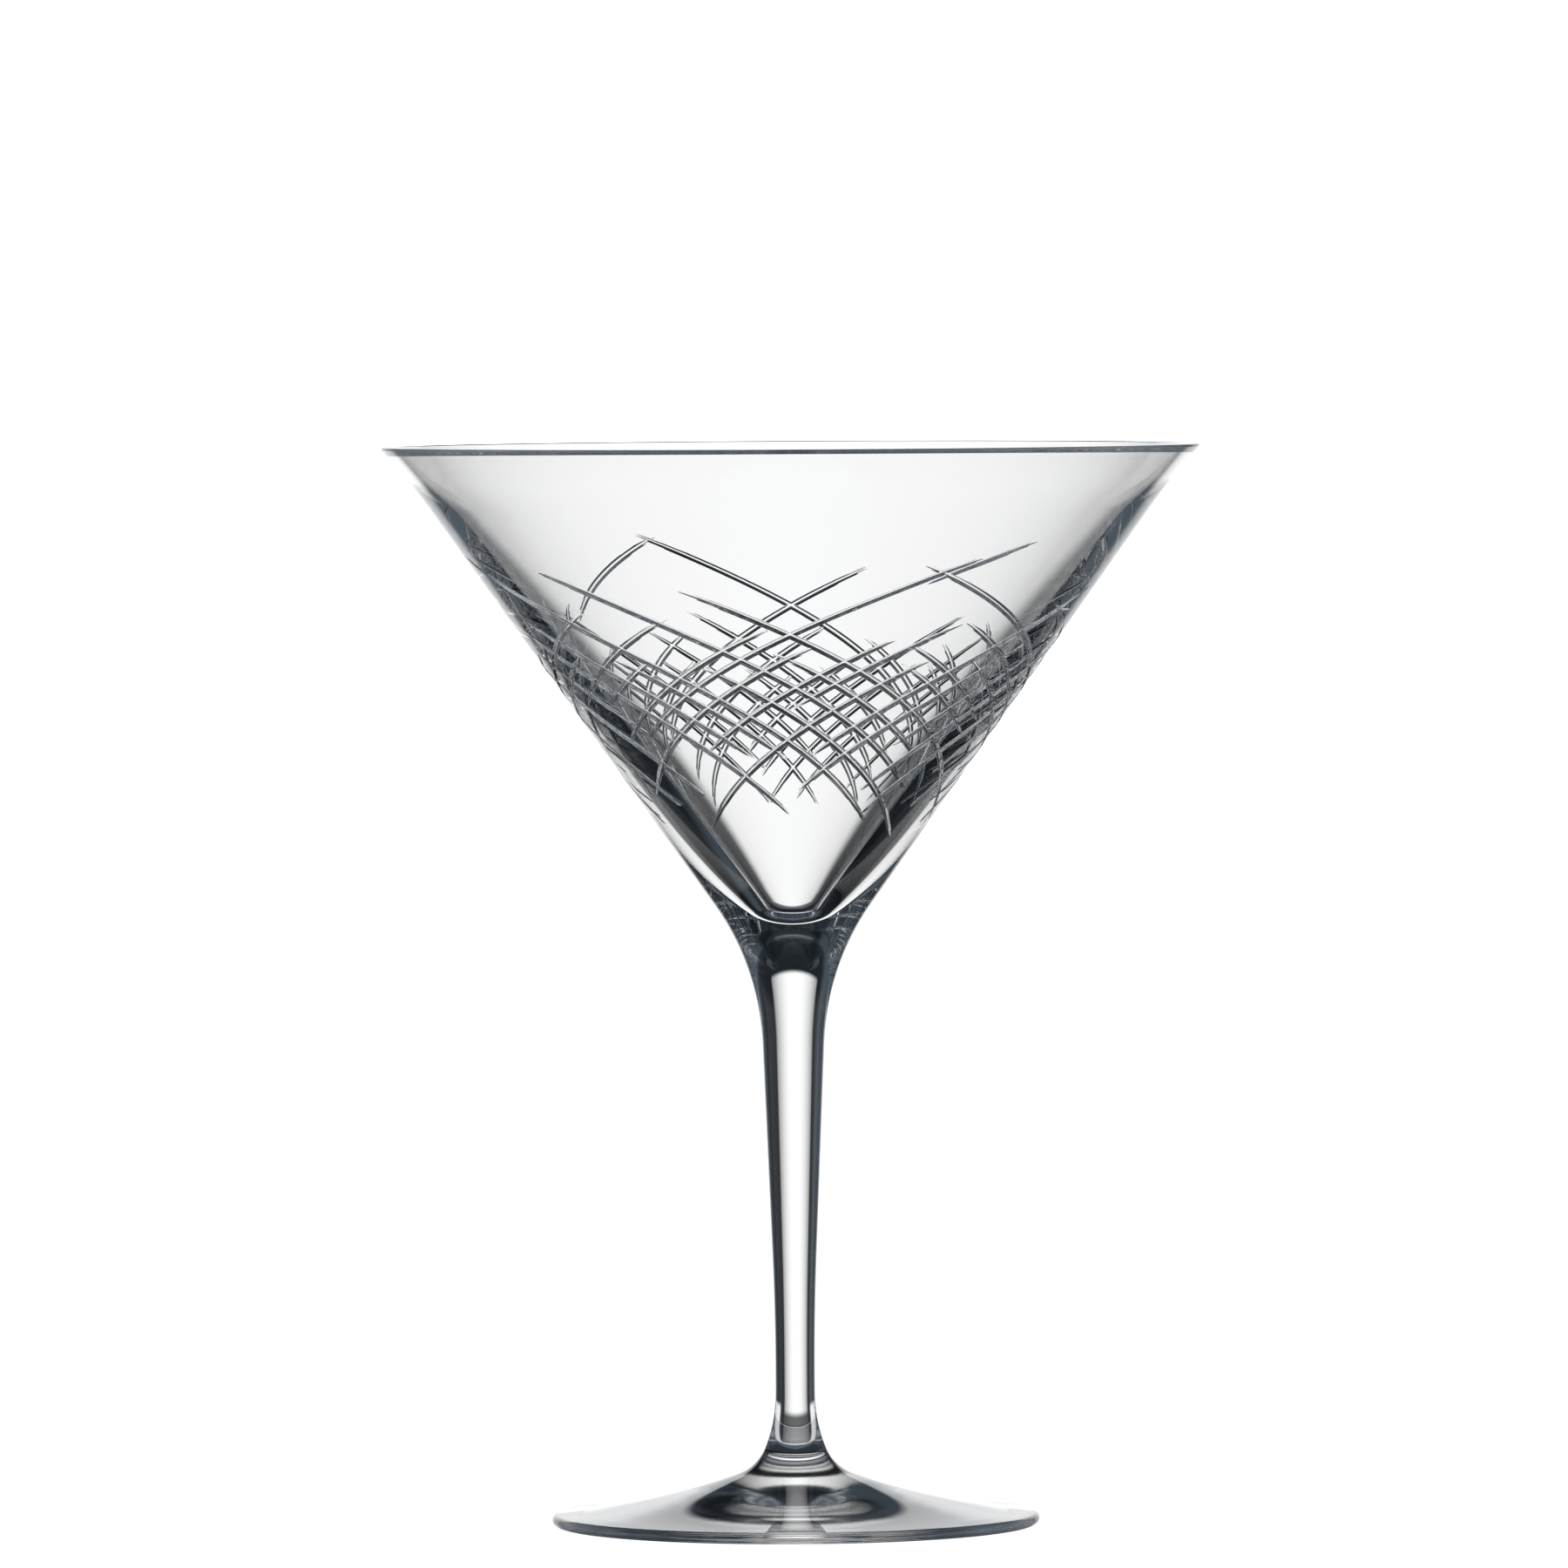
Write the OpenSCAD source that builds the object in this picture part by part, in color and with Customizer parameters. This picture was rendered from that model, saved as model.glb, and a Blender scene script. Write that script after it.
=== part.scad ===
// Martini glass: a cone-shaped bowl on a drawn stem and a round foot.
// Origin: centre of the ring that the foot stands on. +Z runs up the stem, along the axis of symmetry.
// All sizes are in millimetres.

/* [Overall] */
// Height from the table to the rim
total_h = 169; // [162:1:174]

/* [Bowl] */
// Diameter over the rim
rim_d = 128; // [122:1:132]
// Thickness of the lip and of the flared wall below it
lip_t = 1.8; // [1.4:0.1:2.2]
// Radius of the small round on the lip's outer edge
lip_outer_r = 0.3; // [0.2:0.05:0.4]
// Radius of the larger round on the lip's inner edge
lip_inner_r = 0.8; // [0.5:0.1:1]
// Angle of the straight outer wall from the vertical
wall_angle = 35.4; // [35:0.1:36.5]
// How far the lip stands out from the line of the straight outer wall
lip_flare = 0.8; // [0.6:0.1:1.4]
// Radius of the arc that flares the wall out to the lip
flare_r = 90; // [60:1:110]
// Angle of the cavity wall from the vertical, wider than the outer wall so that the glass thickens downwards
cavity_angle = 39; // [38.7:0.1:39.3]
// Radius of the rounded bottom of the cavity
cavity_tip_r = 6; // [5:0.5:7]
// Radius of the fillet between the bowl and the stem
neck_r = 40; // [30:1:45]

/* [Stem] */
// Diameter of the stem where it is thinnest
waist_d = 6.2; // [5.6:0.1:7]
// Height of the thinnest place
waist_h = 24; // [22.5:0.5:27]
// Radius of the arc that starts the stem's taper above the thinnest place
taper_arc_r = 450; // [350:10:600]
// Angle of the stem's upper part from the vertical
taper_angle = 2.4; // [1.5:0.1:2.8]
// Height of the plane where the stem is fused to the bowl
bowl_joint_h = 82; // [80:0.5:84]

/* [Foot] */
// Diameter of the foot
foot_d = 76.4; // [70:0.5:84]
// Height of the plane where the stem is fused to the foot
foot_joint_h = 7.9; // [7.6:0.1:8.4]
// Radius of the stem's upper flare, below the thinnest place
upper_flare_r = 23; // [20:1:26]
// Angle from the vertical where the upper flare hands over to the lower one
flare_angle = 22; // [18:1:24]
// Radius of the stem's lower flare
lower_flare_r = 7.3; // [6.5:0.1:8]
// Slope of the stem's lower end and of the foot's crown, below the horizontal
crown_slope = 20; // [18:1:24]
// Slope of the foot's top at its edge
edge_slope = 5; // [3:1:7]
// Thickness of the foot's rounded edge
edge_t = 1.8; // [1.4:0.1:2.2]
// Diameter inside which the underside is hollowed
hollow_d = 66; // [56:1:68]
// Rise of the hollow at the centre of the underside
hollow_rise = 1.2; // [0.6:0.1:1.6]

/* [Hidden] */
$fn = 180;
glass = [0.86, 0.9, 0.93, 0.5];

// Steps along each arc of the outlines
arc_steps = 16;
// Steps along the long, slow curves
curve_steps = 24;
// Length of the curve handles of the foot's top, as a share of its width
crown_handle = 0.38;
edge_handle = 0.3;

// Centre of the round on the lip's outer edge
lip_c = [rim_d / 2 - lip_outer_r, total_h - lip_outer_r];

// Points on an arc, from angle a0 to angle a1
function arc(c, r, a0, a1, n = arc_steps) =
    [for (i = [0:n]) c + r * [cos(a0 + (a1 - a0) * i / n), sin(a0 + (a1 - a0) * i / n)]];

// Points on a cubic Bezier curve, without its first point
function bezier(p0, p1, p2, p3, n = curve_steps) =
    [for (i = [1:n]) let (t = i / n, u = 1 - t)
        u * u * u * p0 + 3 * u * u * t * p1 + 3 * u * t * t * p2 + t * t * t * p3];

// Outer wall of the bowl: the angle at the lip follows from how far the lip is flared
lip_angle = wall_angle + acos((flare_r + lip_outer_r - lip_flare) / (flare_r + lip_outer_r));
flare_c = lip_c + (lip_outer_r + flare_r) * [cos(lip_angle), -sin(lip_angle)];
wall_top = flare_c - flare_r * [cos(wall_angle), -sin(wall_angle)];

// Cavity: it flares along with the outer wall, then runs down as a cone to a sphere of radius cavity_tip_r
cavity_flare_r = flare_r + lip_t;
inner_round_h = total_h - lip_inner_r;
inner_angle = asin((inner_round_h - flare_c[1]) / (cavity_flare_r - lip_inner_r));
inner_round_c = [flare_c[0] - (cavity_flare_r - lip_inner_r) * cos(inner_angle), inner_round_h];
cavity_top = flare_c - cavity_flare_r * [cos(cavity_angle), -sin(cavity_angle)];
cavity_apex_h = cavity_top[1] - cavity_top[0] / tan(cavity_angle);
cavity_tip_c = [0, cavity_apex_h + cavity_tip_r / sin(cavity_angle)];

// Upper part of the stem: an arc from the thinnest place, then a straight taper
waist_r = waist_d / 2;
taper_c = [waist_r + taper_arc_r, waist_h];
taper_start = taper_c - taper_arc_r * [cos(taper_angle), -sin(taper_angle)];

// The straight taper and the straight wall meet at a corner, which the neck fillet rounds
corner_h = (taper_start[0] - wall_top[0] + wall_top[1] * tan(wall_angle) - taper_start[1] * tan(taper_angle))
    / (tan(wall_angle) - tan(taper_angle));
corner = [taper_start[0] + (corner_h - taper_start[1]) * tan(taper_angle), corner_h];
neck_tangent = neck_r * tan((wall_angle - taper_angle) / 2);
neck_low = corner - neck_tangent * [sin(taper_angle), cos(taper_angle)];
neck_c = neck_low + neck_r * [cos(taper_angle), -sin(taper_angle)];

// The joint plane cuts the neck fillet: angle and radius of the fillet at that height
joint_angle = asin((bowl_joint_h - neck_c[1]) / neck_r);
bowl_joint_r = neck_c[0] - neck_r * cos(joint_angle);

// Lower end of the stem: two arcs that flare out to the foot
upper_flare_drop = upper_flare_r * sin(flare_angle);
end_angle = 90 - crown_slope;
lower_flare_drop = lower_flare_r * (sin(end_angle) - sin(flare_angle));
flare_top_h = foot_joint_h + lower_flare_drop + upper_flare_drop;
upper_flare_c = [waist_r + upper_flare_r, flare_top_h];
flare_change = upper_flare_c - upper_flare_r * [cos(flare_angle), sin(flare_angle)];
lower_flare_c = flare_change + lower_flare_r * [cos(flare_angle), sin(flare_angle)];
foot_joint_r = lower_flare_c[0] - lower_flare_r * cos(end_angle);

// Foot: the rounded edge, the top between the joint and the edge, and the hollow underneath
edge_r = edge_t / 2;
edge_c = [foot_d / 2 - edge_r, edge_r];
edge_top = edge_c + edge_r * [sin(edge_slope), cos(edge_slope)];
crown_top = [foot_joint_r, foot_joint_h];
crown_w = edge_top[0] - crown_top[0];
hollow_r = (pow(hollow_d / 2, 2) + pow(hollow_rise, 2)) / (2 * hollow_rise);
hollow_angle = asin(hollow_d / 2 / hollow_r);

// Bowl with its cavity, cut off at the joint plane
module bowl() {
    color(glass)
        rotate_extrude()
            polygon(concat(
                [[0, bowl_joint_h]],
                arc(neck_c, neck_r, 180 - joint_angle, 180 - wall_angle),
                arc(flare_c, flare_r, 180 - wall_angle, 180 - lip_angle),
                arc(lip_c, lip_outer_r, -lip_angle, 90),
                arc(inner_round_c, lip_inner_r, 90, 180 - inner_angle),
                arc(flare_c, cavity_flare_r, 180 - inner_angle, 180 - cavity_angle),
                arc(cavity_tip_c, cavity_tip_r, -cavity_angle, -90)
            ));
}

// Stem from the foot joint to the bowl joint
module stem() {
    color(glass)
        rotate_extrude()
            polygon(concat(
                [[0, foot_joint_h]],
                arc(lower_flare_c, lower_flare_r, 180 + end_angle, 180 + flare_angle),
                arc(upper_flare_c, upper_flare_r, 180 + flare_angle, 180),
                arc(taper_c, taper_arc_r, 180, 180 - taper_angle),
                arc(neck_c, neck_r, 180 - taper_angle, 180 - joint_angle),
                [[0, bowl_joint_h]]
            ));
}

// Foot with its crown, rounded edge, flat standing ring and hollowed underside
module foot() {
    color(glass)
        rotate_extrude()
            polygon(concat(
                arc([0, hollow_rise - hollow_r], hollow_r, 90, 90 - hollow_angle),
                arc(edge_c, edge_r, -90, 90 - edge_slope),
                bezier(
                    edge_top,
                    edge_top + crown_w * edge_handle * [-cos(edge_slope), sin(edge_slope)],
                    crown_top + crown_w * crown_handle * [cos(crown_slope), -sin(crown_slope)],
                    crown_top
                ),
                [[0, foot_joint_h]]
            ));
}

bowl();
stem();
foot();
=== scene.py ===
"""Looks of the martini glass: a cut-crystal bowl, a drawn stem and a round foot, all of one clear crystal.

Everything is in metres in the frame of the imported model, +Z up the stem. The outlines are worked out in
millimetres, the unit that the solids are drawn in, and the meshes are scaled once, when they are made.
The three glass pieces are lathes on the outlines of the solids that they stand for. The bowl's lathe also
carries the cuts: two families of shallow grooves that climb around the bowl and cross each other.
"""
import math

import bpy
import numpy as np
from mathutils import Matrix, Vector


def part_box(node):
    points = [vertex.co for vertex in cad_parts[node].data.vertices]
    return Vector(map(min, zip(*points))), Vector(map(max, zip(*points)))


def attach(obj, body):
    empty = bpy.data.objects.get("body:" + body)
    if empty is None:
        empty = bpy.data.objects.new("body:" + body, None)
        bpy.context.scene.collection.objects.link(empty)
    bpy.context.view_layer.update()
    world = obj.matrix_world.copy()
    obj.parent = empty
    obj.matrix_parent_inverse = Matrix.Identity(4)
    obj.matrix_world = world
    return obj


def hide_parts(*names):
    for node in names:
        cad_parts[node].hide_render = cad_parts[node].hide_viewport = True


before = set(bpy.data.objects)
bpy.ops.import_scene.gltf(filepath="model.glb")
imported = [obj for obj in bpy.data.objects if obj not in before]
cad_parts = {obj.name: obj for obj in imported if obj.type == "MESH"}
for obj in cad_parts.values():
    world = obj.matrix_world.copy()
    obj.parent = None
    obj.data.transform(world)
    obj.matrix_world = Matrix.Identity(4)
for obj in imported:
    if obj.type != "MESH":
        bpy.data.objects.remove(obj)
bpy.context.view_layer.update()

MM = 0.001

# ---------------------------------------------------------------------------------------------------
# Outlines, in millimetres and degrees. The heights of the joints and the radii of the rim and the foot
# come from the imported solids. The rest are the arcs and angles that the solids are drawn with.
# ---------------------------------------------------------------------------------------------------
BOWL_JOINT_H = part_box("bowl")[0].z / MM
RIM_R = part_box("bowl")[1].x / MM
FOOT_JOINT_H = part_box("stem")[0].z / MM
FOOT_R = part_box("foot")[1].x / MM

TOTAL_H = 169.0
LIP_T = 1.8
LIP_OUTER_R = 0.3
LIP_INNER_R = 0.8
LIP_FLARE = 0.8
FLARE_R = 90.0
WALL = 35.4
CAVITY = 39.0
TIP_R = 6.0
NECK_R = 40.0
WAIST_R = 3.1
WAIST_H = 24.0
TAPER_R = 450.0
TAPER = 2.4
UPPER_FLARE_R = 23.0
FLARE_TURN = 22.0
LOWER_FLARE_R = 7.3
CROWN_SLOPE = 20.0
CROWN_HANDLE = 0.38
EDGE_SLOPE = 5.0
EDGE_HANDLE = 0.3
EDGE_R = 0.9
HOLLOW_R = 33.0
HOLLOW_RISE = 1.2


def sin(a):
    return math.sin(math.radians(a))


def cos(a):
    return math.cos(math.radians(a))


def tan(a):
    return math.tan(math.radians(a))


def polar(centre, radius, a):
    return (centre[0] + radius * cos(a), centre[1] + radius * sin(a))


# Round on the lip's outer edge, flare and straight wall of the bowl
LIP_C = (RIM_R - LIP_OUTER_R, TOTAL_H - LIP_OUTER_R)
LIP_ANGLE = WALL + math.degrees(math.acos((FLARE_R + LIP_OUTER_R - LIP_FLARE) / (FLARE_R + LIP_OUTER_R)))
FLARE_C = polar(LIP_C, FLARE_R + LIP_OUTER_R, -LIP_ANGLE)
WALL_TOP = polar(FLARE_C, FLARE_R, 180 - WALL)

# Cavity: its flare keeps the wall as thick as the lip, then it is a cone that ends in a small sphere
INNER_FLARE_R = FLARE_R + LIP_T
INNER_ANGLE = math.degrees(math.asin((TOTAL_H - LIP_INNER_R - FLARE_C[1]) / (INNER_FLARE_R - LIP_INNER_R)))
INNER_ROUND_C = polar(FLARE_C, INNER_FLARE_R - LIP_INNER_R, 180 - INNER_ANGLE)
CAVITY_TOP = polar(FLARE_C, INNER_FLARE_R, 180 - CAVITY)
CAVITY_APEX_H = CAVITY_TOP[1] - CAVITY_TOP[0] / tan(CAVITY)
TIP_C = (0.0, CAVITY_APEX_H + TIP_R / sin(CAVITY))

# Taper of the stem, and the neck's fillet between it and the wall
TAPER_C = (WAIST_R + TAPER_R, WAIST_H)
TAPER_START = polar(TAPER_C, TAPER_R, 180 - TAPER)
CORNER_H = (TAPER_START[0] - WALL_TOP[0] + WALL_TOP[1] * tan(WALL) - TAPER_START[1] * tan(TAPER)) / (
    tan(WALL) - tan(TAPER))
NECK_TANGENT = NECK_R * tan((WALL - TAPER) / 2)
NECK_LOW = (
    TAPER_START[0] + (CORNER_H - TAPER_START[1]) * tan(TAPER) - NECK_TANGENT * sin(TAPER),
    CORNER_H - NECK_TANGENT * cos(TAPER))
NECK_C = polar(NECK_LOW, NECK_R, -TAPER)
JOINT_ANGLE = math.degrees(math.asin((BOWL_JOINT_H - NECK_C[1]) / NECK_R))

# Flares at the lower end of the stem
END_ANGLE = 90 - CROWN_SLOPE
LOWER_DROP = LOWER_FLARE_R * (sin(END_ANGLE) - sin(FLARE_TURN))
UPPER_FLARE_C = (WAIST_R + UPPER_FLARE_R, FOOT_JOINT_H + LOWER_DROP + UPPER_FLARE_R * sin(FLARE_TURN))
FLARE_CHANGE = polar(UPPER_FLARE_C, UPPER_FLARE_R, 180 + FLARE_TURN)
LOWER_FLARE_C = polar(FLARE_CHANGE, LOWER_FLARE_R, FLARE_TURN)
FOOT_JOINT_R = LOWER_FLARE_C[0] - LOWER_FLARE_R * cos(END_ANGLE)

# Foot
EDGE_C = (FOOT_R - EDGE_R, EDGE_R)
EDGE_TOP = polar(EDGE_C, EDGE_R, 90 - EDGE_SLOPE)
CROWN_TOP = (FOOT_JOINT_R, FOOT_JOINT_H)
CROWN_W = EDGE_TOP[0] - CROWN_TOP[0]
HOLLOW_ARC_R = (HOLLOW_R ** 2 + HOLLOW_RISE ** 2) / (2 * HOLLOW_RISE)
HOLLOW_C = (0.0, HOLLOW_RISE - HOLLOW_ARC_R)
HOLLOW_ANGLE = math.degrees(math.asin(HOLLOW_R / HOLLOW_ARC_R))


# An outline is a list of (r, z, nr, nz): a point and the way out of the glass there. It runs up the
# outside of the glass, so that the way out is on its right. The last argument of an arc, line or bezier
# is the number of steps that the mesh has along it.
def arc(centre, radius, start, end, steps):
    side = 1 if end > start else -1
    turns = [start + (end - start) * i / steps for i in range(steps + 1)]
    return [(*polar(centre, radius, a), side * cos(a), side * sin(a)) for a in turns]


def line(start, end, steps):
    dr, dz = end[0] - start[0], end[1] - start[1]
    length = math.hypot(dr, dz)
    shares = [i / steps for i in range(steps + 1)]
    return [(start[0] + dr * t, start[1] + dz * t, dz / length, -dr / length) for t in shares]


def bezier(p0, p1, p2, p3, steps):
    axes = list(zip(p0, p1, p2, p3))
    points = []
    for i in range(steps + 1):
        t = i / steps
        u = 1 - t
        spot = [u ** 3 * a + 3 * u * u * t * b + 3 * u * t * t * c + t ** 3 * d for a, b, c, d in axes]
        way = [u * u * (b - a) + 2 * u * t * (c - b) + t * t * (d - c) for a, b, c, d in axes]
        length = math.hypot(*way)
        points.append((*spot, way[1] / length, -way[0] / length))
    return points


# ---------------------------------------------------------------------------------------------------
# Cuts. Along a cut, one degree around the bowl is one degree of lean, a measure of height: falling cuts
# keep azimuth plus lean, and rising ones keep azimuth minus lean. Azimuth 0 is at -Y and grows to +X.
# ---------------------------------------------------------------------------------------------------
LEAN_H = 130.0          # height where the lean is zero
CUT_CLIMB = 0.373       # millimetres of height in a degree of lean there
CLIMB_LOSS = 0.0025     # how much less it is for each millimetre higher
CUTS_LOW_H = 106.0      # the cut zone: the part of the wall that is meshed along its cuts
CUTS_HIGH_H = 156.8
CUT_DEPTH = 0.33
CUT_HALF = 1.4          # half the width of a cut, in degrees of azimuth plus or minus lean
CUT_RUN_OUT = 9.0       # degrees of lean over which a cut comes up to the surface at its ends
CUT_END_W = 0.3         # width of a cut at its ends, as a share of its width further in
CUT_LINES = (-1.2, -1.0, -0.75, -0.4, 0.0, 0.4, 0.75, 1.0, 1.2)   # mesh lines along a cut, in half widths
LARGEST_STEP = 5.0      # between mesh lines, in degrees of azimuth plus or minus lean
NORMAL_STEP = 0.02      # degrees to either side of a point, over which its normal is measured

# (place at LEAN_H in degrees, height of the upper end, height of the lower end)
FALLING_CUTS = [
    (-90, 139.5, 113), (-71.5, 140, 115), (-58.5, 134, 125), (-46.5, 140, 112), (-35.5, 142, 121),
    (-25.5, 136, 121), (-18, 152, 111), (-6, 135, 108), (6, 150, 116), (17, 137, 121), (28, 147, 111),
    (41, 135, 124), (50, 138.5, 126), (61, 136, 118), (71.5, 142, 124), (85, 151, 110), (97, 136, 120),
    (108, 141, 112), (119, 131, 118), (130, 134, 111), (142, 130, 110), (153, 137, 114), (165, 131, 117),
    (176, 129, 109), (187, 136, 113), (204, 144.5, 118), (209, 131, 110), (220.5, 135, 112),
    (232, 129, 117), (243, 133, 110), (262, 149, 137),
]
RISING_CUTS = [
    (-84, 143, 116), (-73, 137, 112), (-61.5, 142.5, 129), (-50, 136, 128), (-36, 141, 123),
    (-28.5, 152, 124), (-26, 154.5, 148), (-18.5, 138.5, 115), (-4, 139.5, 122), (4, 141.5, 129),
    (15.5, 136, 110), (28.5, 147, 121.5), (38.5, 138, 116), (50.5, 136, 123), (61, 139, 116),
    (73, 134, 112), (84, 136, 118), (95, 131, 113), (106, 136, 116), (117, 130, 110), (128, 133, 117),
    (138, 130, 112), (150, 134, 116), (156, 149.5, 112), (172, 130, 117), (183, 138, 113),
    (194, 130, 109), (205, 135, 116), (217, 131, 110), (229, 138, 115), (241, 131, 110),
    (252, 135, 117), (264, 137, 118),
]


def lean(height):
    return -math.log(1 - CLIMB_LOSS * (height - LEAN_H) / CUT_CLIMB) / CLIMB_LOSS


def height_at(w):
    return LEAN_H + CUT_CLIMB * (1 - np.exp(-CLIMB_LOSS * w)) / CLIMB_LOSS


def cut_depth(across, w, cuts):
    """Depth of one family of cuts, where across is azimuth plus or minus lean."""
    depth = np.zeros(np.broadcast(across, w).shape)
    for place, top, bottom in cuts:
        side = (across - place + 180) % 360 - 180
        near = np.clip(np.minimum(lean(top) - w, w - lean(bottom)) / CUT_RUN_OUT, 0, 1)
        share = 1 - (1 - near) ** 2
        reach = side / (CUT_HALF * (CUT_END_W + (1 - CUT_END_W) * share))
        depth = np.maximum(depth, CUT_DEPTH * share * np.clip(1 - reach ** 2, 0, None))
    return depth


def wall_point(azimuth, w):
    """Points on the outer wall with its cuts, in millimetres, from azimuth and lean in degrees."""
    depth = np.maximum(cut_depth(azimuth + w, w, FALLING_CUTS), cut_depth(azimuth - w, w, RISING_CUTS))
    z = height_at(w)
    r = WALL_TOP[0] - (WALL_TOP[1] - z) * tan(WALL) - depth * cos(WALL)
    a = np.radians(azimuth)
    return np.stack([r * np.sin(a), -r * np.cos(a), z + depth * sin(WALL)], -1)


def wall_normal(azimuth, w):
    along = wall_point(azimuth + NORMAL_STEP, w) - wall_point(azimuth - NORMAL_STEP, w)
    up = wall_point(azimuth, w + NORMAL_STEP) - wall_point(azimuth, w - NORMAL_STEP)
    normal = np.cross(along, up)
    return normal / np.linalg.norm(normal, axis=-1, keepdims=True)


def mesh_lines(cuts):
    """Where the mesh lines along one family of cuts run, over one turn."""
    fine = sorted((place + CUT_HALF * share) % 360 for place, _, _ in cuts for share in CUT_LINES)
    lines = []
    for here, after in zip(fine, fine[1:] + [fine[0] + 360]):
        pieces = max(1, math.ceil((after - here) / LARGEST_STEP))
        lines += [here + (after - here) * i / pieces for i in range(pieces)]
    return lines


# ---------------------------------------------------------------------------------------------------
# Meshes
# ---------------------------------------------------------------------------------------------------
CRYSTAL, FUSED, UNDERSIDE = 0, 1, 2    # material slots of every glass piece
ON_AXIS = 1e-6                         # a radius below this is a point on the axis
AROUND_BOWL = 288                      # mesh points in one turn of a lathe
AROUND_STEM = 192
AROUND_FOOT = 256
CUTS_MARGIN_LOW = 1.0                  # from the cut zone to the plain lathe below it, in millimetres
CUTS_MARGIN_HIGH = 0.6                 # and to the one above it


class Shell:
    """Collects the points, normals and faces of one closed glass piece, in millimetres."""

    def __init__(self, around):
        self.around = around
        self.points, self.normals, self.faces, self.slots = [], [], [], []

    def add(self, points, normals):
        first = len(self.points)
        self.points.extend(points)
        self.normals.extend(normals)
        return list(range(first, len(self.points)))

    def ring(self, r, z, nr, nz):
        turns = [2 * math.pi * i / self.around for i in range(self.around)]
        return self.add(
            [(r * math.sin(a), -r * math.cos(a), z) for a in turns],
            [(nr * math.sin(a), -nr * math.cos(a), nz) for a in turns])

    def face(self, corners, slot=CRYSTAL):
        self.faces.append(corners)
        self.slots.append(slot)

    def band(self, low, high, slot=CRYSTAL):
        for i in range(self.around):
            j = (i + 1) % self.around
            self.face((low[i], low[j], high[j], high[i]), slot)

    def lathe(self, outline, slot=CRYSTAL):
        """Turns an outline around the axis. Returns its first and last rings: on the axis, a single point."""
        first = last = None
        for r, z, nr, nz in outline:
            if r > ON_AXIS:
                ring = self.ring(r, z, nr, nz)
            else:
                ring = self.add([(0, 0, z)], [(0, 0, math.copysign(1, nz))])
            if last is None:
                first = ring
            elif len(ring) == 1:
                for i in range(self.around):
                    self.face((last[i], last[(i + 1) % self.around], ring[0]), slot)
            elif len(last) == 1:
                for i in range(self.around):
                    self.face((last[0], ring[(i + 1) % self.around], ring[i]), slot)
            else:
                self.band(last, ring, slot)
            last = ring
        return first, last

    def disc(self, ring, z, up):
        """Closes a ring with the flat face where two pieces are fused."""
        centre = self.add([(0, 0, z)], [(0, 0, 1 if up else -1)])[0]
        for i in range(self.around):
            j = (i + 1) % self.around
            self.face((ring[i], ring[j], centre) if up else (ring[j], ring[i], centre), FUSED)

    def zip(self, low, high):
        """Joins two closed chains of (azimuth, point) that both run to larger azimuths."""
        a = b = 0
        low = low + [(low[0][0] + 360, low[0][1])]
        high = high + [(high[0][0] + 360, high[0][1])]
        while a < len(low) - 1 or b < len(high) - 1:
            if b == len(high) - 1 or (a < len(low) - 1 and low[a + 1][0] <= high[b + 1][0]):
                self.face((low[a][1], low[a + 1][1], high[b][1]))
                a += 1
            else:
                self.face((low[a][1], high[b + 1][1], high[b][1]))
                b += 1

    def build(self, name, materials):
        mesh = bpy.data.meshes.new(name)
        mesh.from_pydata([tuple(c * MM for c in p) for p in self.points], [], self.faces)
        for material in materials:
            mesh.materials.append(material)
        mesh.polygons.foreach_set("material_index", self.slots)
        mesh.polygons.foreach_set("use_smooth", [True] * len(self.faces))
        corners = []
        for face, slot in zip(self.faces, self.slots):
            flat = self.normals[face[-1]] if slot == FUSED else None
            corners += [flat or tuple(self.normals[v]) for v in face]
        mesh.normals_split_custom_set(corners)
        mesh.update()
        piece = bpy.data.objects.new(name, mesh)
        bpy.context.scene.collection.objects.link(piece)
        return piece


def ring_chain(shell, ring, start):
    """A lathe ring as a chain that starts at or after an azimuth."""
    step = 360 / shell.around
    first = math.ceil(start / step)
    return [((first + i) * step, ring[(first + i) % shell.around]) for i in range(shell.around)]


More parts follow.
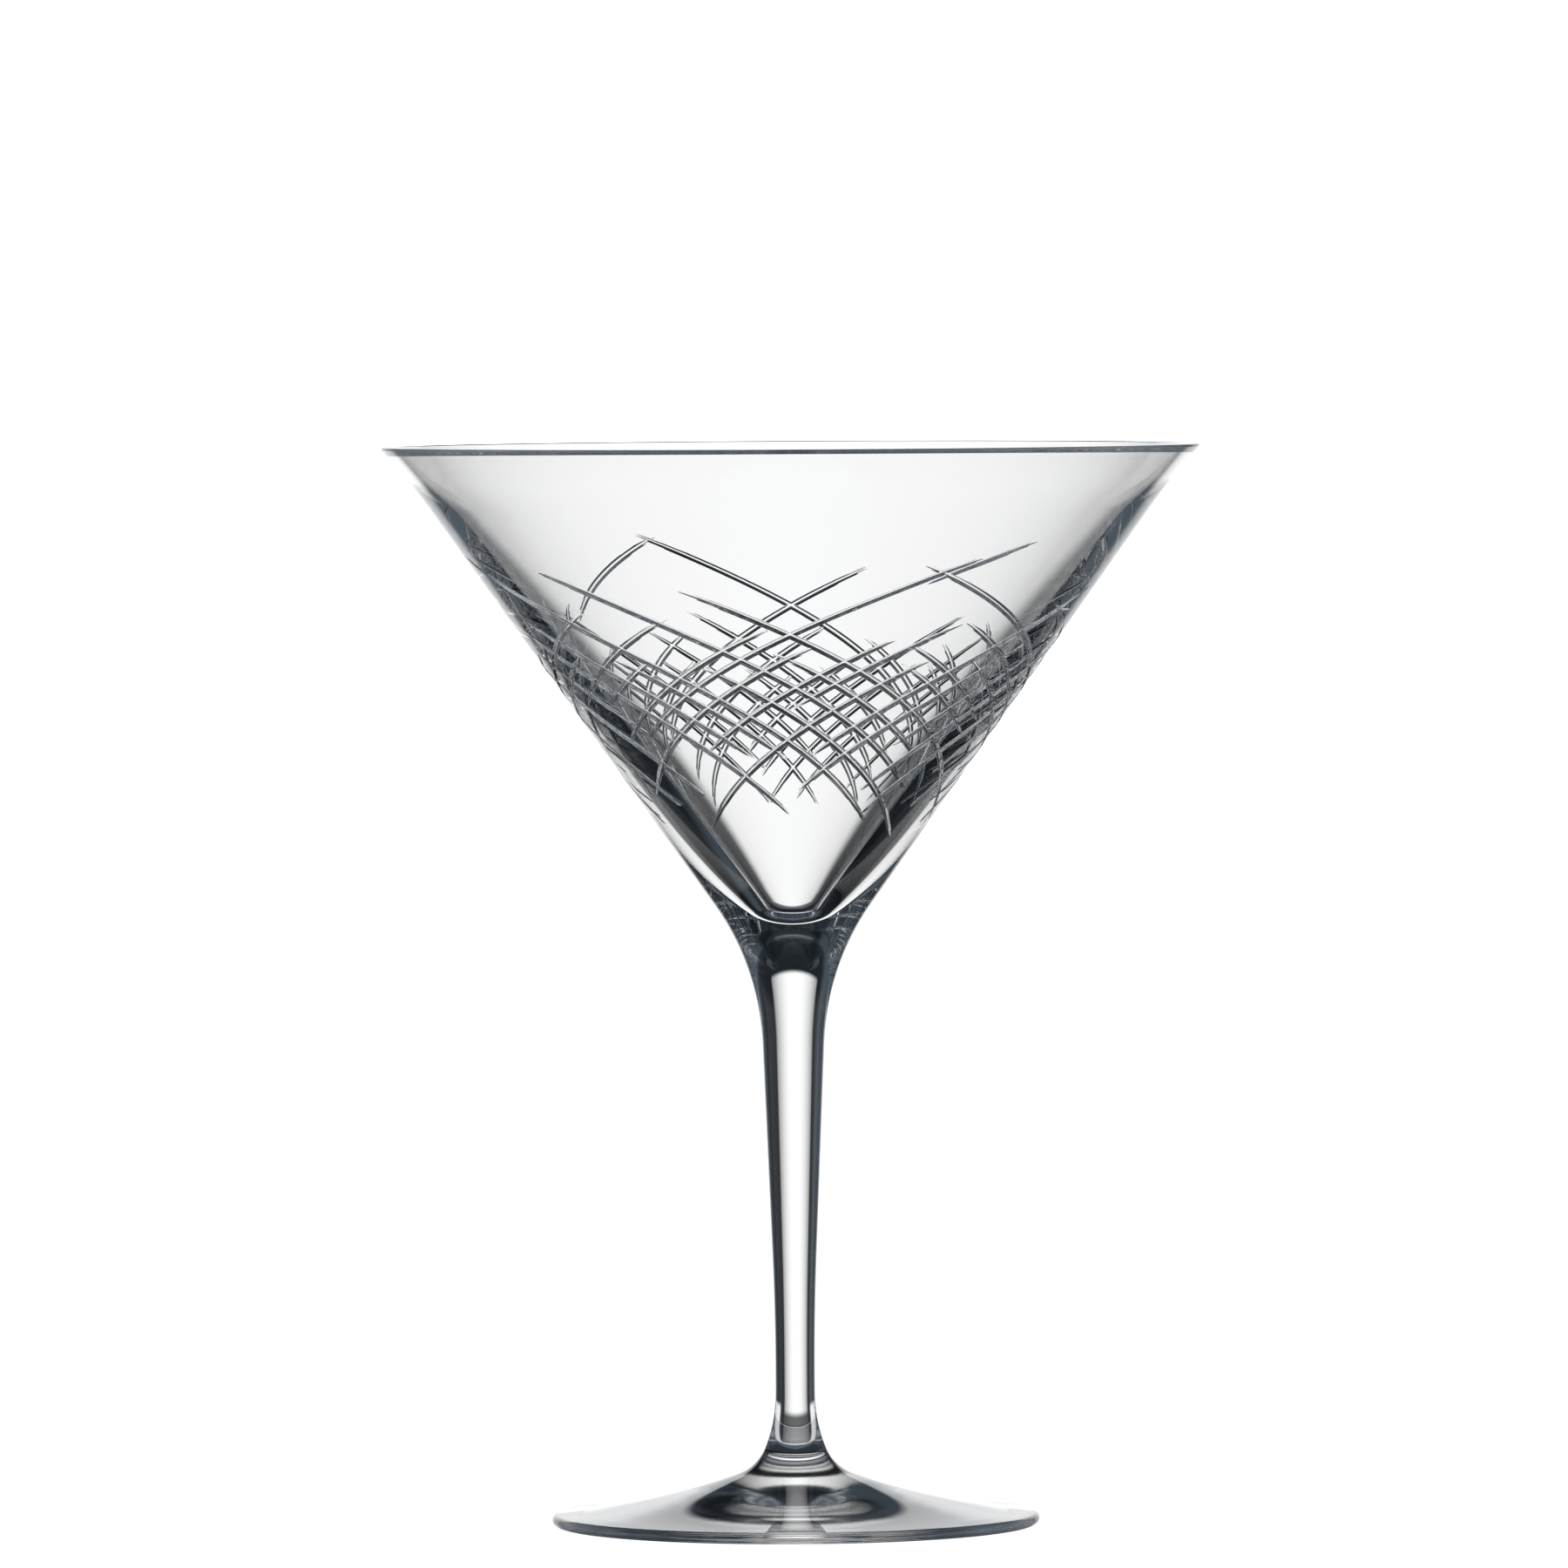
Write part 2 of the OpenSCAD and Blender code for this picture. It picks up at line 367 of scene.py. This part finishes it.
def cut_wall(shell):
    """Meshes the outer wall along its cuts. Returns the zigzag chains at its lower and upper edges."""
    falling, rising = np.array(mesh_lines(FALLING_CUTS)), np.array(mesh_lines(RISING_CUTS))
    low_w, high_w = lean(CUTS_LOW_H), lean(CUTS_HIGH_H)
    turns_f, turns_r = len(falling), len(rising)

    def at_f(i):
        return falling[i % turns_f] + 360 * (i // turns_f)

    def at_r(j):
        return rising[j % turns_r] + 360 * (j // turns_r)

    def bounds_of(i):
        """First and last rising line that stay in the cut zone between falling lines i and i + 1."""
        first = -turns_r
        while (at_f(i + 1) - at_r(first)) / 2 > high_w:
            first += 1
        last = first
        while (at_f(i) - at_r(last + 1)) / 2 >= low_w:
            last += 1
        return first, last

    spans = [bounds_of(i) for i in range(turns_f)]
    used = {}

    def vertex(i, j):
        turn = i // turns_f
        key = (i - turn * turns_f, j - turn * turns_r)
        return used.setdefault(key, len(used))

    base = len(shell.points)
    cells = []
    for i, (first, last) in enumerate(spans):
        for j in range(first, last):
            cells.append((vertex(i, j), vertex(i, j + 1), vertex(i + 1, j + 1), vertex(i + 1, j)))
    keys = np.array(list(used))
    f = falling[keys[:, 0]]
    r = np.array([at_r(j) for j in keys[:, 1]])
    azimuth, w = (f + r) / 2, (f - r) / 2
    shell.add([tuple(p) for p in wall_point(azimuth, w)], [tuple(n) for n in wall_normal(azimuth, w)])
    for cell in cells:
        shell.face(tuple(base + v for v in cell))

    def chain(side):
        path = []
        for i in range(turns_f):
            here = spans[i][side]
            after = spans[(i + 1) % turns_f][side] + (turns_r if i + 1 == turns_f else 0)
            path += [(i, here)] if i == 0 else []
            path += [(i + 1, j) for j in range(here, after + 1)]
        path = path[:-1]
        return [((at_f(i) + at_r(j)) / 2, base + vertex(i, j)) for i, j in path]

    return chain(1), chain(0)


# ---------------------------------------------------------------------------------------------------
# Materials
# ---------------------------------------------------------------------------------------------------
CRYSTAL_COLOUR = (0.998, 0.998, 0.998, 1)
CRYSTAL_IOR = 1.52
UNDER_ROUGH = 0.1       # the foot's underside isn't as smooth as the rest


def crystal(name, roughness):
    """Clear glass that takes next to no light away."""
    material = bpy.data.materials.new(name)
    material.use_nodes = True
    shader = material.node_tree.nodes["Principled BSDF"]
    shader.inputs["Base Color"].default_value = CRYSTAL_COLOUR
    shader.inputs["Roughness"].default_value = roughness
    shader.inputs["IOR"].default_value = CRYSTAL_IOR
    shader.inputs["Transmission Weight"].default_value = 1.0
    return material


def fused():
    """The place where two pieces of hot glass have become one: nothing to be seen."""
    material = bpy.data.materials.new("fused")
    material.use_nodes = True
    nodes = material.node_tree.nodes
    nodes.clear()
    clear = nodes.new("ShaderNodeBsdfTransparent")
    out = nodes.new("ShaderNodeOutputMaterial")
    material.node_tree.links.new(clear.outputs["BSDF"], out.inputs["Surface"])
    return material


# ---------------------------------------------------------------------------------------------------
# Pieces
# ---------------------------------------------------------------------------------------------------
def make_bowl(materials):
    shell = Shell(AROUND_BOWL)
    low_z = CUTS_LOW_H - CUTS_MARGIN_LOW
    high_z = CUTS_HIGH_H + CUTS_MARGIN_HIGH
    neck_top = polar(NECK_C, NECK_R, 180 - WALL)
    low_r = WALL_TOP[0] - (WALL_TOP[1] - low_z) * tan(WALL)
    high_r = WALL_TOP[0] - (WALL_TOP[1] - high_z) * tan(WALL)
    below = arc(NECK_C, NECK_R, 180 - JOINT_ANGLE, 180 - WALL, 28) + line(neck_top, (low_r, low_z), 6)[1:]
    cavity_side = polar(TIP_C, TIP_R, -CAVITY)
    above = (
        line((high_r, high_z), WALL_TOP, 1)[:-1]
        + arc(FLARE_C, FLARE_R, 180 - WALL, 180 - LIP_ANGLE, 14)[:-1]
        + arc(LIP_C, LIP_OUTER_R, -LIP_ANGLE, 90, 12)
        + arc(INNER_ROUND_C, LIP_INNER_R, 90, 180 - INNER_ANGLE, 10)[:-1]
        + arc(FLARE_C, INNER_FLARE_R, 180 - INNER_ANGLE, 180 - CAVITY, 10)[:-1]
        + line(CAVITY_TOP, cavity_side, 24)[:-1]
        + arc(TIP_C, TIP_R, -CAVITY, -90, 12))
    joint_ring, below_end = shell.lathe(below)
    shell.disc(joint_ring, BOWL_JOINT_H, False)
    above_start, _ = shell.lathe(above)
    low_chain, high_chain = cut_wall(shell)
    shell.zip(ring_chain(shell, below_end, low_chain[0][0]), low_chain)
    shell.zip(high_chain, ring_chain(shell, above_start, high_chain[0][0]))
    return shell.build("cut_bowl", materials)


def make_stem(materials):
    shell = Shell(AROUND_STEM)
    outline = (
        arc(LOWER_FLARE_C, LOWER_FLARE_R, 180 + END_ANGLE, 180 + FLARE_TURN, 20)[:-1]
        + arc(UPPER_FLARE_C, UPPER_FLARE_R, 180 + FLARE_TURN, 180, 16)[:-1]
        + arc(TAPER_C, TAPER_R, 180, 180 - TAPER, 12)[:-1]
        + line(TAPER_START, NECK_LOW, 16)[:-1]
        + arc(NECK_C, NECK_R, 180 - TAPER, 180 - JOINT_ANGLE, 10))
    foot_ring, bowl_ring = shell.lathe(outline)
    shell.disc(foot_ring, FOOT_JOINT_H, False)
    shell.disc(bowl_ring, BOWL_JOINT_H, True)
    return shell.build("drawn_stem", materials)


def make_foot(materials):
    shell = Shell(AROUND_FOOT)
    edge_handle = polar(EDGE_TOP, CROWN_W * EDGE_HANDLE, 180 - EDGE_SLOPE)
    crown_handle = polar(CROWN_TOP, CROWN_W * CROWN_HANDLE, -CROWN_SLOPE)
    hollow = arc(HOLLOW_C, HOLLOW_ARC_R, 90, 90 - HOLLOW_ANGLE, 24)
    outside = (
        line((HOLLOW_R, 0.0), (EDGE_C[0], 0.0), 2)[:-1]
        + arc(EDGE_C, EDGE_R, -90, 90 - EDGE_SLOPE, 20)[:-1]
        + bezier(EDGE_TOP, edge_handle, crown_handle, CROWN_TOP, 48))
    _, hollow_ring = shell.lathe(hollow, UNDERSIDE)
    standing_ring, joint_ring = shell.lathe(outside)
    shell.band(hollow_ring, standing_ring, UNDERSIDE)
    shell.disc(joint_ring, FOOT_JOINT_H, True)
    return shell.build("round_foot", materials)


def place(piece, node, slot):
    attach(piece, "root")
    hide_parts(node)


# ---------------------------------------------------------------------------------------------------
# Studio
# ---------------------------------------------------------------------------------------------------
EYE = Vector((0.0, -2.3, 0.194))
AIM = Vector((-0.00125, 0.0, 0.1160))
VIEW_W = 0.2452         # width of the picture at the glass
ROLL = -0.31            # of the camera, in degrees
SENSOR_W = 36           # of the camera, in millimetres
CLIP_END = 50           # in metres


def make_camera():
    data = bpy.data.cameras.new("camera")
    camera = bpy.data.objects.new("camera", data)
    bpy.context.scene.collection.objects.link(camera)
    way = AIM - EYE
    data.sensor_width = SENSOR_W
    data.lens = data.sensor_width * way.length / VIEW_W
    data.clip_end = CLIP_END
    turn = way.to_track_quat("-Z", "Y").to_matrix() @ Matrix.Rotation(math.radians(ROLL), 3, "Z")
    camera.matrix_world = Matrix.Translation(EYE) @ turn.to_4x4()
    bpy.context.scene.camera = camera


# The studio as the glass sees it, by azimuth from +Y and elevation, in degrees. A large soft panel glows
# behind the glass, brightest a little left of the middle. Black flags stand beside and above it, and weaker
# panels stand at both sides. The room beyond is dim. The table is glossy, so below the horizon the glass
# sees the same studio again, where the panel's image ends sooner. Light that only passes through the glass,
# with no reflection on its way, also meets the pale table and the pale walls at the sides: that keeps the
# glass clear from any side.
WHITE = (1.0, 1.0, 1.0)

PANEL_MIDDLE = -2.0
PANEL_HALF_W = 25.5
PANEL_TOP = 20.5
PANEL_EDGE = 1.2        # softness of its edges
PANEL_GLOW = 1.14
PANEL_FALL = 0.9        # how much weaker it is at its sides
IMAGE_END = -14.0       # elevation where its image in the table fades
IMAGE_EDGE = 2.0
IMAGE_REST = 0.12       # what is left of the image further down

SIDE_MIDDLE = 100.0
SIDE_FULL, SIDE_END = 20.0, 38.0        # half width of its brightest part, and of all of it
SIDE_FULL_TOP, SIDE_TOP = 16.0, 26.0
SIDE_GLOW = 0.5

ROOM_TINT = (0.75, 0.97, 1.2)
FLAG_GLOW = 0.008
ROOM_GLOW = 0.07
LEFT_FLAG, LEFT_ROOM = -31.0, -42.0     # where the flag ends, and where the room has its full glow
RIGHT_FLAG, RIGHT_ROOM = 44.0, 62.0
CEILING_GLOW = 0.03
CEILING_START, CEILING_FULL = 42.0, 50.0
FRONT_GLOW = 0.12                       # of the room behind the camera
FRONT_START, FRONT_FULL = 118.0, 134.0

PALE_GLOW = 0.93
PALE_TABLE = (-9.0, -13.0)              # elevations where the table starts and has its full glow
PALE_TABLE_SIDE = (33.0, 40.0)          # the same in azimuth, at both sides of the panel's image
PALE_TABLE_STEEP = (-58.0, -66.0)       # further down than this it is all around
PALE_WALL = (62.0, 80.0)                # azimuths where the walls start and have their full glow


class Nodes:
    """Adds and links shader nodes of one tree."""

    def __init__(self, tree):
        tree.nodes.clear()
        self.nodes, self.links = tree.nodes, tree.links

    def put(self, socket, value):
        """Sets a socket to a number or colour, or links it to another node's output."""
        if hasattr(value, "is_linked"):
            self.links.new(value, socket)
        else:
            socket.default_value = value

    def new(self, kind, **inputs):
        node = self.nodes.new(kind)
        for name, value in inputs.items():
            self.put(node.inputs[name], value)
        return node

    def maths(self, operation, *values):
        node = self.nodes.new("ShaderNodeMath")
        node.operation = operation
        for socket, value in zip(node.inputs, values):
            self.put(socket, value)
        return node.outputs[0]

    def product(self, first, *others):
        for other in others:
            first = self.maths("MULTIPLY", first, other)
        return first

    def most(self, first, *others):
        for other in others:
            first = self.maths("MAXIMUM", first, other)
        return first

    def ramp(self, value, start, end, low=0.0, high=1.0):
        """Goes smoothly from low at start to high at end, where start may be the larger one."""
        if start > end:
            start, end, low, high = end, start, high, low
        node = self.nodes.new("ShaderNodeMapRange")
        node.interpolation_type = "SMOOTHSTEP"
        for name, number in zip(("From Min", "From Max", "To Min", "To Max"), (start, end, low, high)):
            node.inputs[name].default_value = number
        self.put(node.inputs["Value"], value)
        return node.outputs["Result"]

    def tint(self, strength, colour):
        node = self.nodes.new("ShaderNodeVectorMath")
        node.operation = "SCALE"
        node.inputs[0].default_value = colour
        self.put(node.inputs["Scale"], strength)
        return node.outputs[0]

    def plus(self, a, b):
        node = self.nodes.new("ShaderNodeVectorMath")
        self.put(node.inputs[0], a)
        self.put(node.inputs[1], b)
        return node.outputs[0]


def panel_light(n, azimuth, elevation, height):
    """The large panel behind the glass and its image in the table."""
    off_middle = n.maths("ABSOLUTE", n.maths("SUBTRACT", azimuth, PANEL_MIDDLE))
    share = n.maths("DIVIDE", off_middle, PANEL_HALF_W)
    return n.product(
        n.maths("SUBTRACT", PANEL_GLOW, n.product(share, share, PANEL_FALL)),
        n.ramp(off_middle, PANEL_HALF_W + PANEL_EDGE, PANEL_HALF_W - PANEL_EDGE),
        n.ramp(elevation, PANEL_TOP + PANEL_EDGE, PANEL_TOP - PANEL_EDGE),
        n.ramp(height, IMAGE_END + IMAGE_EDGE, IMAGE_END - IMAGE_EDGE, 1.0, IMAGE_REST))


def side_light(n, off, elevation):
    """The weaker panels at both sides."""
    off_middle = n.maths("ABSOLUTE", n.maths("SUBTRACT", off, SIDE_MIDDLE))
    return n.product(
        n.ramp(off_middle, SIDE_END, SIDE_FULL), n.ramp(elevation, SIDE_TOP, SIDE_FULL_TOP), SIDE_GLOW)


def room_light(n, azimuth, off, elevation):
    """The dim light between the panels: flags, room, ceiling and the room behind the camera."""
    low = n.ramp(elevation, CEILING_START, CEILING_FULL, 1.0, 0.0)
    left = n.product(low, n.ramp(azimuth, LEFT_FLAG, LEFT_ROOM, FLAG_GLOW, ROOM_GLOW))
    right = n.product(low, n.ramp(azimuth, RIGHT_FLAG, RIGHT_ROOM, FLAG_GLOW, ROOM_GLOW))
    above = n.ramp(elevation, CEILING_START, CEILING_FULL, 0.0, CEILING_GLOW)
    front = n.ramp(off, FRONT_START, FRONT_FULL, 0.0, FRONT_GLOW)
    return n.most(left, right, above, front)


def pale_light(n, off, height, path):
    """The pale table and walls, for light that meets no reflection in the glass."""
    passes = n.maths("LESS_THAN", path.outputs["Glossy Depth"], 1.0)
    around = n.most(n.ramp(off, *PALE_TABLE_SIDE), n.ramp(height, *PALE_TABLE_STEEP))
    table = n.product(n.ramp(height, *PALE_TABLE), around)
    return n.product(passes, n.most(table, n.ramp(off, *PALE_WALL)), PALE_GLOW)


def make_world():
    """The studio around the glass. For the camera itself it is washed out to a plain white backdrop."""
    world = bpy.data.worlds.new("studio")
    bpy.context.scene.world = world
    world.use_nodes = True
    n = Nodes(world.node_tree)
    way = n.new("ShaderNodeSeparateXYZ", Vector=n.new("ShaderNodeTexCoord").outputs["Generated"])
    path = n.new("ShaderNodeLightPath")
    x, y, z = way.outputs
    azimuth = n.maths("DEGREES", n.maths("ARCTAN2", x, y))
    off = n.maths("ABSOLUTE", azimuth)
    height = n.maths("DEGREES", n.maths("ARCSINE", z))
    elevation = n.maths("ABSOLUTE", height)
    white = n.most(
        panel_light(n, azimuth, elevation, height),
        side_light(n, off, elevation),
        pale_light(n, off, height, path))
    seen = n.maths("MULTIPLY", path.outputs["Is Camera Ray"], FLOOR_GLOW)
    dim = n.tint(room_light(n, azimuth, off, elevation), ROOM_TINT)
    light = n.plus(n.tint(n.maths("ADD", white, seen), WHITE), dim)
    back = n.new("ShaderNodeBackground", Color=light)
    out = n.new("ShaderNodeOutputWorld")
    n.links.new(back.outputs["Background"], out.inputs["Surface"])


FLOOR_R = 3.0
FLOOR_SIDES = 128
FLOOR_DROP = 0.05 * MM  # keeps the floor clear of the ring that the foot stands on
FLOOR_GLOW = 1.1


def pale_glow():
    """An evenly lit white surface."""
    material = bpy.data.materials.new("pale_floor")
    material.use_nodes = True
    n = Nodes(material.node_tree)
    glow = n.new("ShaderNodeEmission", Color=(*WHITE, 1.0), Strength=FLOOR_GLOW)
    out = n.new("ShaderNodeOutputMaterial")
    n.links.new(glow.outputs[0], out.inputs["Surface"])
    return material


def make_floor():
    """The pale floor, for the camera only: the glass sees the table that is part of the studio."""
    turns = [2 * math.pi * i / FLOOR_SIDES for i in range(FLOOR_SIDES)]
    corners = [(FLOOR_R * math.cos(a), FLOOR_R * math.sin(a), -FLOOR_DROP) for a in turns]
    mesh = bpy.data.meshes.new("floor")
    mesh.from_pydata(corners, [], [tuple(range(FLOOR_SIDES))])
    mesh.materials.append(pale_glow())
    piece = bpy.data.objects.new("floor", mesh)
    bpy.context.scene.collection.objects.link(piece)
    piece.visible_shadow = False
    piece.visible_diffuse = False
    piece.visible_transmission = False
    piece.visible_glossy = False


BOUNCES = 128           # light runs far along the thin wall before it gets out


def set_render():
    scene = bpy.context.scene
    scene.view_settings.view_transform = "Standard"
    scene.cycles.max_bounces = BOUNCES
    scene.cycles.transmission_bounces = BOUNCES
    scene.cycles.glossy_bounces = BOUNCES
    scene.cycles.transparent_max_bounces = BOUNCES


glass = [crystal("crystal", 0.0), fused(), crystal("underside", UNDER_ROUGH)]
make_camera()
place(make_bowl(glass), "bowl", "bowl_crystal")
place(make_stem(glass), "stem", "stem_crystal")
place(make_foot(glass), "foot", "foot_crystal")
make_world()
make_floor()
set_render()

bpy.context.view_layer.update()
